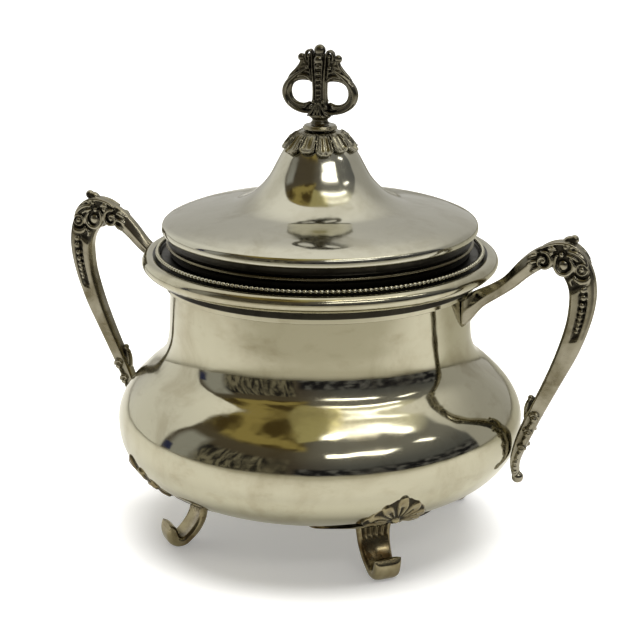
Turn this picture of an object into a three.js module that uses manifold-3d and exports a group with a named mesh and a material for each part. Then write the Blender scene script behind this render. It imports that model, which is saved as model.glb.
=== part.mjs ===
// A lidded sugar bowl in silver plate on four scroll feet: three.js scene graph, millimetres, +Z up.
// The origin is on the table, under the middle of the bowl. The two handles lie along X.
import * as THREE from "three";
import { mergeVertices } from "three/addons/utils/BufferGeometryUtils.js";
import Module from "manifold-3d";

const wasm = await Module();
wasm.setup();

// Driving dimensions
const SEGMENTS = 36; // facets round every spun piece
const GAP = 0.3; // air left between two pieces that are soldered or rest together

const WALL = 1.2; // thickness of the spun sheet
const BELLY_RADIUS = 78.4;
const BELLY_HEIGHT = 46.2; // height of the widest ring
const BASE_HEIGHT = 17.7; // underside of the bowl
const NECK_RADIUS = 57.9;
const NECK_TOP = 98.8;

const ROLL_RADIUS = 67.9; // the rolled rim, the widest ring of the collar
const ROLL_HEIGHT = 107.6;
const LEDGE_HEIGHT = 110.7; // the lid rests here
const THROAT_RADIUS = 54; // inside of the mouth
const BEAD_WIRE_RADIUS = 61.7;
const BEAD_WIRE_HEIGHT = 111.7;
const BEAD_WIRE_THICKNESS = 1.9;

const LID_RADIUS = 60.1;
const LID_EDGE_HEIGHT = 119.3; // lower edge of the lid's rolled rim
const BELL_FOOT_HEIGHT = 129.7; // where the lid's slope turns up into the bell
const BELL_TOP_HEIGHT = 155.6;
const FLANGE_RADIUS = 57.2; // ring under the lid that stands on the ledge
const FLANGE_CLEARANCE = 0.6; // between the flange's skirt and the mouth

const CALYX_LOBES = 12;
const FINIAL_DISC_RADIUS = 6.55;
const FINIAL_DISC_HEIGHT = 157.7; // underside of the disc
const FINIAL_THICKNESS = 5.2;
const FINIAL_TOP = 187.4; // centre of the topmost ball
const STUD_RADIUS = 1.75;

const HANDLE_THICKNESS = 8.2;
const HANDLE_ROUNDING = 1.2;

const FOOT_COUNT = 4;
const FOOT_WIDTH = 13; // at the ankle, narrowing to the toe
const LEAF_THICKNESS = 2.2; // the ornamental plate that carries each foot

// Finishes
const polishedPlate = () => finish(0xc9c6b8, 0.16);
const agedPlate = () => finish(0x9a9484, 0.34);
const brass = () => finish(0xb79a5b, 0.35);

function finish(color, roughness) {
  return new THREE.MeshStandardMaterial({ color, roughness, metalness: 1 });
}

// Geometry helpers. Profiles are lists of [radius, height].
const points2 = (list) => list.map(([x, y]) => new THREE.Vector2(x, y));
const curve = (list, divisions) =>
  new THREE.SplineCurve(points2(list)).getPoints(divisions).map((p) => [p.x, p.y]);

// Spins a profile about +Z. A profile with both ends on the axis is a disc or cup, a closed one a ring.
function spun(profile, segments = SEGMENTS) {
  return new THREE.LatheGeometry(points2(profile), segments).rotateX(Math.PI / 2);
}

function ring(outline, segments = SEGMENTS) {
  return spun([...outline, outline[0]], segments);
}

// A profile that runs upwards, moved inwards by a distance.
function offset(profile, distance) {
  return profile.map(([r, z], i) => {
    const [r0, z0] = profile[Math.max(i - 1, 0)];
    const [r1, z1] = profile[Math.min(i + 1, profile.length - 1)];
    const length = Math.hypot(r1 - r0, z1 - z0);
    return [Math.max(r - (distance * (z1 - z0)) / length, 0), z + (distance * (r1 - r0)) / length];
  });
}

function solid(geometry) {
  const plain = geometry.clone();
  plain.deleteAttribute("normal");
  plain.deleteAttribute("uv");
  const merged = mergeVertices(plain, 1e-3);
  return new wasm.Manifold(
    new wasm.Mesh({
      numProp: 3,
      vertProperties: merged.getAttribute("position").array,
      triVerts: new Uint32Array(merged.index.array),
    }),
  );
}

function geometryOf(manifold) {
  const { vertProperties, triVerts } = manifold.getMesh();
  const geometry = new THREE.BufferGeometry();
  geometry.setAttribute("position", new THREE.BufferAttribute(vertProperties, 3));
  geometry.setIndex(new THREE.BufferAttribute(triVerts, 1));
  geometry.computeVertexNormals();
  return geometry;
}

const join = (...geometries) => geometryOf(geometries.map(solid).reduce((a, b) => a.add(b)));
const cut = (geometry, ...tools) =>
  geometryOf(tools.map(solid).reduce((a, b) => a.subtract(b), solid(geometry)));

const ball = (radius, x, y, z) => new THREE.SphereGeometry(radius, 10, 7).translate(x, y, z);

// A flat outline in the XZ plane, thickened along Y and rounded along its edges.
function slab(shape, thickness, rounding, steps = 1) {
  const geometry = new THREE.ExtrudeGeometry(shape, {
    depth: thickness - 2 * rounding,
    bevelThickness: rounding,
    bevelSize: rounding,
    bevelOffset: -rounding,
    bevelSegments: steps,
    bevelEnabled: rounding > 0,
    curveSegments: 8,
  });
  return geometry.translate(0, 0, rounding - thickness / 2).rotateX(Math.PI / 2);
}

// Bowl: one spun shell, from the base up to the soldered joint under the collar
const bowlSide = curve(
  [
    [36, BASE_HEIGHT + 0.6],
    [52, 20.4],
    [64.1, 24.4],
    [72.6, 30.4],
    [77.3, 38],
    [BELLY_RADIUS, BELLY_HEIGHT],
    [77.7, 51],
    [74.2, 57.6],
    [67.5, 64.7],
    [61, 70.5],
    [NECK_RADIUS + 0.6, 77],
    [NECK_RADIUS, 86],
    [NECK_RADIUS - 0.6, NECK_TOP],
  ],
  17,
);
const bowlOutside = [[0, BASE_HEIGHT], [20, BASE_HEIGHT], ...bowlSide];
const bowl = spun([...bowlOutside, ...offset(bowlOutside, WALL).reverse()]);

// Rim collar: sheet rolled into a plain band, a bold roll and a narrow shelf for the bead wire
const collarOutside = [
  [NECK_RADIUS - 2, NECK_TOP + GAP],
  [NECK_RADIUS + 1.4, NECK_TOP + GAP],
  [NECK_RADIUS + 1.8, 102.4],
  [62.6, 104.1],
  [66.4, 105.4],
  [ROLL_RADIUS, ROLL_HEIGHT],
  [67.2, 109.8],
  [65, 110.9],
  [62.8, 110.3],
  [60.9, 110.2],
];
const rimCollar = ring([...collarOutside, ...offset(collarOutside, WALL).reverse()]);

// Seat ring: the ledge and the bezel inside the mouth
const seatRing = ring([
  [THROAT_RADIUS, 101],
  [THROAT_RADIUS + WALL, 101],
  [THROAT_RADIUS + WALL, LEDGE_HEIGHT - 1.8],
  [60.6, LEDGE_HEIGHT - 1.8],
  [60.6, LEDGE_HEIGHT],
  [THROAT_RADIUS + 0.6, LEDGE_HEIGHT],
  [THROAT_RADIUS, LEDGE_HEIGHT - 0.6],
]);

// Bead wire: the milled ring on top of the collar
const beadWire = new THREE.TorusGeometry(BEAD_WIRE_RADIUS, BEAD_WIRE_THICKNESS / 2, 6, SEGMENTS)
  .translate(0, 0, BEAD_WIRE_HEIGHT);

// Lid: a spun disc with a rolled rim, rising into a bell
const lidOutside = [
  [LID_RADIUS - 1.6, LID_EDGE_HEIGHT + 0.3],
  [LID_RADIUS - 0.5, LID_EDGE_HEIGHT],
  [LID_RADIUS, LID_EDGE_HEIGHT + 1.9],
  ...curve(
    [
      [LID_RADIUS - 0.6, 123.2],
      [54, 125.3],
      [44, 127.5],
      [36, 128.9],
      [32.4, BELL_FOOT_HEIGHT],
      [25.7, 133.2],
      [19.8, 139.2],
      [16.4, 145.2],
      [13.9, 149.7],
      [11, 153.2],
      [7, 155.2],
    ],
    13,
  ),
  [STUD_RADIUS + GAP, BELL_TOP_HEIGHT],
];
const lidInside = offset(lidOutside.slice(3), WALL);
lidInside[lidInside.length - 1] = [STUD_RADIUS + GAP, BELL_TOP_HEIGHT - WALL];
const lidShell = ring([...lidOutside, ...lidInside.reverse(), [LID_RADIUS - 1.6, 121.6]]);

// Flange under the lid: a cove with a fine bead, a foot that stands on the ledge, and a skirt inside the mouth
const skirtRadius = THROAT_RADIUS - FLANGE_CLEARANCE;
const lidFlange = ring([
  [skirtRadius - WALL, 104.2],
  [skirtRadius, 104.2],
  [skirtRadius, LEDGE_HEIGHT + GAP],
  [FLANGE_RADIUS, LEDGE_HEIGHT + GAP],
  [FLANGE_RADIUS, 113],
  [FLANGE_RADIUS + 1.3, 114],
  [FLANGE_RADIUS + 1.3, 115],
  [FLANGE_RADIUS - 0.6, 116],
  [FLANGE_RADIUS - 0.6, 122.2],
  [FLANGE_RADIUS - 1.8, 122.4],
  [FLANGE_RADIUS - 1.8, 113],
  [skirtRadius - WALL, 112],
]);

// Calyx: a cap of leaves over the top of the bell, with its edge cut into long and short lobes
function leafCap() {
  const top = 157.1;
  const outside = curve([[STUD_RADIUS + GAP, 157.4], [7.5, top], [11.4, 154.6], [13.7, 152], [15, 149.8]], 6);
  const inside = curve([[14.6, 149.6], [13.1, 151.6], [10.9, 154], [7.4, 155.9], [STUD_RADIUS + GAP, 156.1]], 5);
  const cap = ring([...outside, ...inside].reverse(), CALYX_LOBES * 4);
  const place = cap.getAttribute("position");
  for (let i = 0; i < place.count; i++) {
    const [x, y, z] = [place.getX(i), place.getY(i), place.getZ(i)];
    const hang = Math.max(0, (top - 2 - z) / 6); // 0 over the crown, 1 at the edge
    const angle = Math.atan2(y, x);
    const lobe = Math.abs(Math.cos((CALYX_LOBES / 2) * angle));
    const droop = Math.cos(2 * angle); // the leaves over the handles hang lower
    place.setZ(i, z + hang * (2.4 - 1.4 * lobe - droop));
  }
  return cap;
}

const finialDisc = ring([
  [STUD_RADIUS + GAP, FINIAL_DISC_HEIGHT],
  [FINIAL_DISC_RADIUS - 0.6, FINIAL_DISC_HEIGHT],
  [FINIAL_DISC_RADIUS, FINIAL_DISC_HEIGHT + 0.7],
  [FINIAL_DISC_RADIUS - 0.5, FINIAL_DISC_HEIGHT + 1.6],
  [4, FINIAL_DISC_HEIGHT + 1.9],
  [STUD_RADIUS + GAP, FINIAL_DISC_HEIGHT + 1.9],
], 24);

// Finial: an openwork casting of two loops about a beaded stem
function finialCasting() {
  const half = [
    [3.4, 161.4],
    [5.7, 163.1],
    [9.4, 164.4],
    [12.8, 166.6],
    [14.8, 169.4],
    [15.2, 172.2],
    [13.6, 175.8],
    [10.5, 179.4],
    [8.1, 182],
    [7.2, 184.6],
    [4.6, 186.9],
  ];
  const outline = [...half, ...half.map(([x, z]) => [-x, z]).reverse()];
  const shape = new THREE.Shape(points2(outline));
  for (const side of [-1, 1]) {
    shape.holes.push(new THREE.Path().absellipse(side * 7.3, 171.7, 4.3, 4.2, 0, 2 * Math.PI));
  }
  const stem = new THREE.CylinderGeometry(2.4, 2.9, 22, 12).rotateX(Math.PI / 2).translate(0, 0, 173);
  const neckBottom = FINIAL_DISC_HEIGHT + 1.9 + GAP;
  const neck = spun([[0, neckBottom], [3.6, neckBottom], [3.2, 160.8], [3.6, 162.2], [0, 164]], 16);
  const balls = [
    ball(2.2, 0, 0, FINIAL_TOP),
    ball(1.45, 7.2, 0, 184.5),
    ball(1.45, -7.2, 0, 184.5),
    ball(1.8, 0, -1.8, 184.4),
    ball(1.8, 0, 1.8, 184.4),
  ];
  const casting = join(slab(shape, FINIAL_THICKNESS, 1.2), stem, neck, ...balls);
  const bore = new THREE.CylinderGeometry(STUD_RADIUS + GAP, STUD_RADIUS + GAP, 10, 12)
    .rotateX(Math.PI / 2)
    .translate(0, 0, neckBottom);
  return cut(casting, bore);
}

// The finial's fixing: a stud up through the lid, with a washer and a nut inside the bell
const finialStud = new THREE.CylinderGeometry(STUD_RADIUS, STUD_RADIUS, 15.6, 12)
  .rotateX(Math.PI / 2)
  .translate(0, 0, 156.4);
const finialWasher = ring([[STUD_RADIUS + GAP, 153], [5, 153], [5, 153.8], [STUD_RADIUS + GAP, 153.8]], 20);
const nutBore = (STUD_RADIUS + 0.15) / Math.cos(Math.PI / 6); // to the corners, so that the flats clear the stud
const finialNut = ring([[nutBore, 149.4], [4.4, 149.4], [4.4, 152.6], [nutBore, 152.6]], 6);

// Everything that is soldered to the bowl stops this far off its outside
const bowlClearance = spun([
  ...offset(bowlOutside, -GAP).slice(0, -1),
  ...offset(collarOutside, -GAP).slice(1, -1),
  [0, LEDGE_HEIGHT],
]);

// Handle: a scrolled strap that springs from under the collar, loops over and comes down to the belly
function handleCasting() {
  const outer = curve(
    [
      [56, 98],
      [66, 103.6],
      [73, 108],
      [78.4, 114.3],
      [84, 119.4],
      [91, 122.6],
      [97.6, 123.6],
      [102.8, 119.8],
      [106.6, 113.4],
      [108, 105.7],
      [107, 96.4],
      [102.4, 82.2],
      [95.4, 67.8],
      [88.3, 53.2],
      [83.8, 42.9],
      [81.2, 35.6],
      [81.4, 30.6],
    ],
    34,
  );
  const inner = curve(
    [
      [79, 29.4],
      [77.6, 33.4],
      [78, 39],
      [80.8, 48.4],
      [83.6, 57],
      [88, 65.6],
      [93.4, 80.2],
      [96.9, 92.2],
      [98, 103.4],
      [95.4, 110.6],
      [89.8, 113.4],
      [83.2, 109.4],
      [77.2, 104],
      [70.2, 99],
      [64, 95],
      [60.2, 89.6],
      [56, 86.4],
    ],
    32,
  );
  const strap = slab(new THREE.Shape(points2([...outer, ...inner])), HANDLE_THICKNESS, HANDLE_ROUNDING);
  const thumbRest = ball(2.1, 98.6, 0, 124.2);
  const tailBall = ball(2.2, 80.4, 0, 29.8);
  return cut(join(strap, thumbRest, tailBall), bowlClearance);
}

// Foot: a strip that bends out under the bowl and curls up at the toe, hung from a leaf that hugs the belly
function footCasting() {
  const sole = [[49.9, 26], [49.9, 13], [52.2, 6.8], [56.2, 2.4], [59, 0], [62.4, 0], [64.6, 1.8], [65.4, 4.8]];
  const toe = [[64.6, 7], [62.8, 7.4], [61.4, 5.8], [60.2, 4.4], [57.6, 6.8], [54.4, 11], [53.6, 14], [53.8, 26]];
  const strip = slab(new THREE.Shape(points2([...sole, ...toe])), FOOT_WIDTH, 0);
  const place = strip.getAttribute("position");
  for (let i = 0; i < place.count; i++) {
    place.setY(i, place.getY(i) * (0.78 + 0.22 * Math.min(place.getZ(i) / 18, 1)));
  }
  return cut(join(strip, leafPlate()), bowlClearance);
}

// A plate bent round the belly: a tall pointed leaf between two low wings, thinner towards its sides
function leafPlate() {
  const path = bowlSide.filter(([r, z]) => r > 46 && z < 41);
  const rows = path.length - 1;
  const columns = 10;
  const plate = new THREE.BoxGeometry(1, 1, 1, columns, rows, 1);
  const place = plate.getAttribute("position");
  const outside = offset(path, -GAP - LEAF_THICKNESS);
  const inside = offset(path, 0);
  for (let i = 0; i < place.count; i++) {
    const across = 2 * place.getX(i);
    const up = place.getY(i) + 0.5;
    const row = Math.round(up * rows);
    const wing = 12 * Math.max(0, 1 - 1.8 * up) ** 1.5;
    const halfWidth = wing + 10.6 * Math.sqrt(1 - 0.9 * up ** 2);
    const turn = (across * halfWidth) / path[row][0];
    const depth = place.getZ(i) > 0 ? 1 - 0.5 * across ** 2 : 0;
    const r = THREE.MathUtils.lerp(inside[row][0], outside[row][0], depth);
    const z = THREE.MathUtils.lerp(inside[row][1], outside[row][1], depth);
    place.setXYZ(i, r * Math.cos(turn), r * Math.sin(turn), z);
  }
  return plate;
}

// Assembly
const sugarBowl = new THREE.Group();
const lid = new THREE.Group();
sugarBowl.add(lid);

function place(parent, name, geometry, material, turn = 0) {
  const mesh = new THREE.Mesh(geometry, material);
  mesh.name = name;
  mesh.rotation.z = turn;
  parent.add(mesh);
}

place(sugarBowl, "bowl_body", bowl, polishedPlate());
place(sugarBowl, "rim_collar", rimCollar, polishedPlate());
place(sugarBowl, "seat_ring", seatRing, agedPlate());
place(sugarBowl, "bead_wire", beadWire, agedPlate());

place(sugarBowl, "handle_right", handleCasting(), agedPlate());
place(sugarBowl, "handle_left", handleCasting(), agedPlate(), Math.PI);

const footNames = ["back_right", "back_left", "front_left", "front_right"];
for (let i = 0; i < FOOT_COUNT; i++) {
  place(sugarBowl, "foot_" + footNames[i], footCasting(), agedPlate(), (i + 0.5) * (2 * Math.PI / FOOT_COUNT));
}

place(lid, "lid_shell", lidShell, polishedPlate());
place(lid, "lid_flange", lidFlange, agedPlate());
place(lid, "lid_calyx", leafCap(), agedPlate());
place(lid, "finial_disc", finialDisc, agedPlate());
place(lid, "finial", finialCasting(), agedPlate());
place(lid, "finial_stud", finialStud, brass());
place(lid, "finial_washer", finialWasher, brass());
place(lid, "finial_nut", finialNut, brass());

export default sugarBowl;
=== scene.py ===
import math

import bmesh
import bpy
import numpy as np
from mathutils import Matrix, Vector


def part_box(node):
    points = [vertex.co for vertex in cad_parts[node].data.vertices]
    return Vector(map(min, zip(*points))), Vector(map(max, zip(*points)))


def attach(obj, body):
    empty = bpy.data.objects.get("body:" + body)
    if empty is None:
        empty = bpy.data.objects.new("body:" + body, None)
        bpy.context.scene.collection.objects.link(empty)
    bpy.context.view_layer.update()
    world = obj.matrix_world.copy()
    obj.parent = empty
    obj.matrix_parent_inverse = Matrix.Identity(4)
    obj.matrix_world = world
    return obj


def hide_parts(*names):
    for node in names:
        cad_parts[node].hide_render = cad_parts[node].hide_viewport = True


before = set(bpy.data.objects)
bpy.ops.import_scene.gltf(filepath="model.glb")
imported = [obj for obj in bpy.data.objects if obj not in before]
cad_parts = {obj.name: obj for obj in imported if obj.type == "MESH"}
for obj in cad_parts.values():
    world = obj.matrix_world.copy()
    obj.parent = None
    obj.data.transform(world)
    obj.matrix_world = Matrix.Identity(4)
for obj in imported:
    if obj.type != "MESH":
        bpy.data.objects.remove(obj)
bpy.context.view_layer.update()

# A lidded sugar bowl in old silver plate. Lengths in the outlines are millimetres in the frame of
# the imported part. A spun piece is fitted to the box of the CAD node it stands for. A casting keeps
# its own place, and is only shrunk or shifted as far as that box asks.
MM = 0.001
TURNS = 240
SHEET = 1.2
BEADS = 200
LOBES = 12
CAMERA_TURN = math.radians(22)
CAMERA_REACH = 0.680
CAMERA_HEIGHT = 0.2862
CAMERA_AIM = 0.0831
LENS = 103.4
# On the floor, the way towards the camera and the way to the camera's right.
AHEAD = (math.sin(CAMERA_TURN), -math.cos(CAMERA_TURN), 0)
ASIDE = (math.cos(CAMERA_TURN), math.sin(CAMERA_TURN), 0)
FLOOR_HALF = 30.0
LAMP_PLACE = (0.1, 0.1, 1.5)
LAMP_SIZE = 1.6
LAMP_WATTS = 36.0
TAU = 2 * math.pi


# ---- outlines

def through(points, step=0.4):
    """A smooth line through the points: a centripetal Catmull-Rom curve cut into short steps."""
    p = np.array(points, float)
    p = np.vstack([2 * p[0] - p[1], p, 2 * p[-1] - p[-2]])
    line = []
    for a, b, c, d in zip(p, p[1:], p[2:], p[3:]):
        gaps = [max(np.linalg.norm(v - u), 1e-6) ** 0.5 for u, v in ((a, b), (b, c), (c, d))]
        t0, t1, t2, t3 = 0, gaps[0], gaps[0] + gaps[1], sum(gaps)
        count = max(2, int(math.ceil(np.linalg.norm(c - b) / step)))
        for t in np.linspace(t1, t2, count, endpoint=False):
            ab = ((t1 - t) * a + (t - t0) * b) / (t1 - t0)
            bc = ((t2 - t) * b + (t - t1) * c) / (t2 - t1)
            cd = ((t3 - t) * c + (t - t2) * d) / (t3 - t2)
            abc = ((t2 - t) * ab + (t - t0) * bc) / (t2 - t0)
            bcd = ((t3 - t) * bc + (t - t1) * cd) / (t3 - t1)
            line.append(((t2 - t) * abc + (t - t1) * bcd) / (t2 - t1))
    line.append(p[-2])
    return np.array(line)


def length_along(line):
    """How far along the line each of its points lies."""
    return np.concatenate([[0], np.cumsum(np.linalg.norm(np.diff(line, axis=0), axis=1))])


def even(line, step=0.4):
    """The same line cut into equal steps."""
    line = np.array(line, float)
    run = length_along(line)
    count = max(2, int(round(run[-1] / step)))
    at = np.linspace(0, run[-1], count + 1)
    return np.stack([np.interp(at, run, line[:, k]) for k in range(line.shape[1])], axis=1)


def rubbed(line, passes):
    """The line with its small unevenness rubbed out, its two ends held."""
    for _ in range(passes):
        line[1:-1] = 0.25 * line[:-2] + 0.5 * line[1:-1] + 0.25 * line[2:]
    return line


def faired(line, passes, step=0.4):
    """The line cut into equal steps and rubbed smooth."""
    return rubbed(even(line, step), passes)


def left_of(line):
    """At each point of the line, the direction to the left of its own."""
    along = np.gradient(line, axis=0)
    along /= np.linalg.norm(along, axis=1)[:, None]
    return np.stack([-along[:, 1], along[:, 0]], axis=1)


def beside(line, distance):
    """The line moved to its left by distance."""
    return line + distance * left_of(line)


# ---- meshes

def strip_faces(rows, columns, wrap_rows, wrap_columns):
    """Quads of a grid of rows by columns of points."""
    r = np.arange(rows if wrap_rows else rows - 1)
    c = np.arange(columns if wrap_columns else columns - 1)
    rr, cc = np.meshgrid(r, c, indexing="ij")
    r2, c2 = (rr + 1) % rows, (cc + 1) % columns
    corners = [rr * columns + cc, r2 * columns + cc, r2 * columns + c2, rr * columns + c2]
    return np.stack(corners, axis=-1).reshape(-1, 4).tolist()


def spin(outline, turns=TURNS):
    """The solid of an outline of (radius, height) turned about Z, closed on itself or on the axis."""
    outline = np.array(outline, float)
    angle = np.linspace(0, TAU, turns, endpoint=False)
    on_axis = outline[:, 0] < 1e-6
    body = outline[~on_axis]
    points = np.stack(
        [
            body[:, :1] * np.cos(angle),
            body[:, :1] * np.sin(angle),
            np.repeat(body[:, 1:], turns, axis=1),
        ],
        axis=-1,
    ).reshape(-1, 3)
    faces = strip_faces(len(body), turns, not on_axis.any(), True)
    faces = [f[::-1] for f in faces]
    poles = [(i, h) for i, (r, h) in enumerate(outline) if r < 1e-6]
    for i, height in poles:
        points = np.vstack([points, [[0, 0, height]]])
        ring = 0 if i == 0 else (len(body) - 1) * turns
        for k in range(turns):
            pair = (ring + k, ring + (k + 1) % turns)
            faces.append([len(points) - 1, pair[1], pair[0]] if i == 0 else [len(points) - 1, *pair])
    return points, faces


def loft(rings):
    """The solid through rings of points, with its two ends closed."""
    rings = np.array(rings, float)
    rows, columns = rings.shape[:2]
    faces = strip_faces(rows, columns, False, True)
    ends = [rings[0].mean(0), rings[-1].mean(0)]
    points = np.vstack([rings.reshape(-1, 3), ends])
    first, last = len(points) - 2, len(points) - 1
    far = (rows - 1) * columns
    for k in range(columns):
        after = (k + 1) % columns
        faces.append([first, k, after])
        faces.append([last, far + after, far + k])
    return points, faces


def spread(values, count):
    """Values given at even places, read off at count even places."""
    values = np.atleast_1d(values).astype(float)
    return np.interp(np.linspace(0, 1, count), np.linspace(0, 1, len(values)), values)


def reed(line, wide, deep, y=0.0, sides=14, step=0.35):
    """A rounded bar along a line of (x, z), wide to each side in that plane and deep along Y."""
    path = even(through(line, step), step)
    count = len(path)
    wide, deep, y = spread(wide, count), spread(deep, count), spread(y, count)
    run = np.arange(count) * np.linalg.norm(path[1] - path[0])
    nearest = np.minimum(run, run[-1] - run)
    round_off = np.sqrt(1 - (1 - np.clip(nearest / np.maximum(wide, 0.05), 0.04, 1)) ** 2)
    side_x, side_z = left_of(path).T[:, :, None]
    turn = np.linspace(0, TAU, sides, endpoint=False)
    out = (wide * round_off)[:, None] * np.cos(turn)
    side = (deep * round_off)[:, None] * np.sin(turn)
    return loft(
        np.stack(
            [path[:, :1] + side_x * out, y[:, None] + side, path[:, 1:] + side_z * out],
            axis=-1,
        )
    )


def ball(x, y, z, radius, stretch=(1, 1, 1)):
    """A round knob."""
    rise = np.linspace(-math.pi / 2, math.pi / 2, 13)
    turn = np.linspace(0, TAU, 20, endpoint=False)
    rings = [
        [(math.cos(e) * math.cos(a), math.cos(e) * math.sin(a), math.sin(e)) for a in turn]
        for e in rise[1:-1]
    ]
    points, faces = loft(rings)
    points[-2:] = [(0, 0, -1), (0, 0, 1)]
    return points * radius * np.array(stretch) + (x, y, z), faces


def flipped(parts, axis):
    """The parts seen in a mirror across that axis."""
    made = []
    for points, faces in parts:
        points = np.array(points, float)
        points[:, axis] *= -1
        made.append((points, [f[::-1] for f in faces]))
    return made


def all_four(parts):
    """The parts and their mirror images left to right and front to back."""
    both = parts + flipped(parts, 0)
    return both + flipped(both, 1)


def cast(name, parts, material, grain, softening):
    """The parts run together into one casting: a fine even skin over all of them, then softened."""
    piece = make(name, parts, material)
    remesh = piece.modifiers.new("skin", "REMESH")
    remesh.mode = "VOXEL"
    remesh.voxel_size = grain * MM
    remesh.use_smooth_shade = True
    smooth = piece.modifiers.new("soft", "SMOOTH")
    smooth.factor = 0.5
    smooth.iterations = softening
    shape = bpy.data.meshes.new_from_object(piece.evaluated_get(bpy.context.evaluated_depsgraph_get()))
    piece.modifiers.clear()
    piece.data = shape
    shape.polygons.foreach_set("use_smooth", [True] * len(shape.polygons))
    shape.materials.clear()
    shape.materials.append(material)
    return piece


def placed(name, data):
    """A new object in the scene."""
    made = bpy.data.objects.new(name, data)
    bpy.context.scene.collection.objects.link(made)
    return made


def make(name, parts, material):
    """One mesh object from several (points, faces) parts, points in millimetres."""
    points, faces = [], []
    for part_points, part_faces in parts:
        first = len(points)
        points.extend(np.array(part_points, float).tolist())
        faces.extend([[first + i for i in f] for f in part_faces])
    mesh = bpy.data.meshes.new(name)
    mesh.from_pydata([[c * MM for c in p] for p in points], [], faces)
    skin = bmesh.new()
    skin.from_mesh(mesh)
    bmesh.ops.recalc_face_normals(skin, faces=skin.faces)
    skin.to_mesh(mesh)
    skin.free()
    mesh.polygons.foreach_set("use_smooth", [True] * len(mesh.polygons))
    mesh.materials.append(material)
    return placed(name, mesh)


def painted(piece, material, chosen):
    """Gives a second material to the faces that a test chooses.

    The test is given a face's radius, height and how far it looks away from the axis and upwards.
    """
    piece.data.materials.append(material)
    for face in piece.data.polygons:
        x, y, z = face.center / MM
        outward = x * face.normal.x + y * face.normal.y
        face.material_index = int(chosen(math.hypot(x, y), z, outward, face.normal.z))
    return piece


def darkened(piece, depths):
    """Marks how deep each vertex lies in a recess, from 0 to 1, which its material turns into oxide."""
    mark = piece.data.attributes.new("recess", "FLOAT", "POINT")
    mark.data.foreach_set("value", np.clip(depths, 0, 1).astype(np.float32))
    return piece


def spots(piece):
    """The places of the piece's vertices."""
    points = np.empty(len(piece.data.vertices) * 3)
    piece.data.vertices.foreach_get("co", points)
    return points.reshape(-1, 3)


def moved(piece, points):
    """The piece with its vertices at these places."""
    piece.data.vertices.foreach_set("co", points.ravel())
    piece.data.update()
    return piece


def fitted(piece, node):
    """Fits the piece's box to the box of its CAD node."""
    low, high = (np.array(v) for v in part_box(node))
    points = spots(piece)
    own_low, own_high = points.min(0), points.max(0)
    return moved(piece, low + (points - own_low) * ((high - low) / (own_high - own_low)))


def anchored(piece, node):
    """Shrinks and shifts the piece only as far as it takes to stay in its CAD node's box."""
    low, high = (np.array(v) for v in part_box(node))
    points = spots(piece)
    own_low, own_high = points.min(0), points.max(0)
    scale = np.minimum(1.0, (high - low) / (own_high - own_low))
    points = own_low + (points - own_low) * scale
    own_high = points.max(0)
    return moved(piece, points + np.maximum(low - own_low, 0) + np.minimum(high - own_high, 0))


def settle(piece, body, slot, *nodes):
    """Hangs the piece on its body and hides the CAD nodes it stands for."""
    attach(piece, body)
    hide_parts(*nodes)
    return piece


# ---- material nodes

class Graph:
    """Short ways to write a node tree."""

    def __init__(self, tree):
        self.tree = tree

    def add(self, kind, inputs=None, **settings):
        made = self.tree.nodes.new(kind)
        for key, value in settings.items():
            setattr(made, key, value)
        for key, value in (inputs or {}).items():
            if isinstance(value, bpy.types.NodeSocket):
                self.tree.links.new(value, made.inputs[key])
            else:
                made.inputs[key].default_value = value
        return made

    def math(self, operation, a, b=0.0, clamp=False):
        made = self.add("ShaderNodeMath", {0: a, 1: b}, operation=operation, use_clamp=clamp)
        return made.outputs[0]

    def times(self, a, b):
        return self.math("MULTIPLY", a, b)

    def plus(self, a, b, clamp=False):
        return self.math("ADD", a, b, clamp)

    def step(self, value, low, high, to_low=0.0, to_high=1.0):
        """to_low below low and to_high above high, with a smooth passage between."""
        return self.add(
            "ShaderNodeMapRange",
            {"Value": value, "From Min": low, "From Max": high, "To Min": to_low, "To Max": to_high},
            interpolation_type="SMOOTHSTEP",
        ).outputs[0]

    def fall(self, value, low, high):
        """1 below low and 0 above high."""
        return self.step(value, low, high, 1.0, 0.0)

    def window(self, value, low, high, soft):
        """1 between low and high, 0 outside, with soft edges."""
        rise = self.step(value, low - soft, low + soft)
        return self.times(rise, self.fall(value, high - soft, high + soft))

    def mix(self, factor, a, b):
        made = self.add("ShaderNodeMix", {0: factor}, data_type="RGBA")
        for socket, value in ((made.inputs[6], a), (made.inputs[7], b)):
            if isinstance(value, bpy.types.NodeSocket):
                self.tree.links.new(value, socket)
            else:
                socket.default_value = (*value, 1.0)
        return made.outputs[2]

    def noise(self, vector, scale, detail=3.0, roughness=0.5, distortion=0.0):
        settings = {"Vector": vector, "Scale": scale, "Detail": detail}
        settings.update({"Roughness": roughness, "Distortion": distortion})
        return self.add("ShaderNodeTexNoise", settings).outputs[0]

    def stretch(self, vector, scale, turn=(0.0, 0.0, 0.0)):
        return self.add(
            "ShaderNodeMapping", {"Vector": vector, "Rotation": turn, "Scale": scale}
        ).outputs[0]

    def dot(self, vector, axis):
        made = self.add("ShaderNodeVectorMath", {0: vector, 1: axis}, operation="DOT_PRODUCT")
        return made.outputs["Value"]


SWELL_DEPTH = 0.00024
HAIRLINE_DEPTH = 0.00001
HAIRLINE_COLOUR = (0.22, 0.19, 0.13)
OXIDE_COLOUR = (0.018, 0.015, 0.011)


def new_material(name):
    """A material, its node graph and its shader."""
    material = bpy.data.materials.new(name)
    material.use_nodes = True
    return material, Graph(material.node_tree), material.node_tree.nodes["Principled BSDF"]


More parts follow.
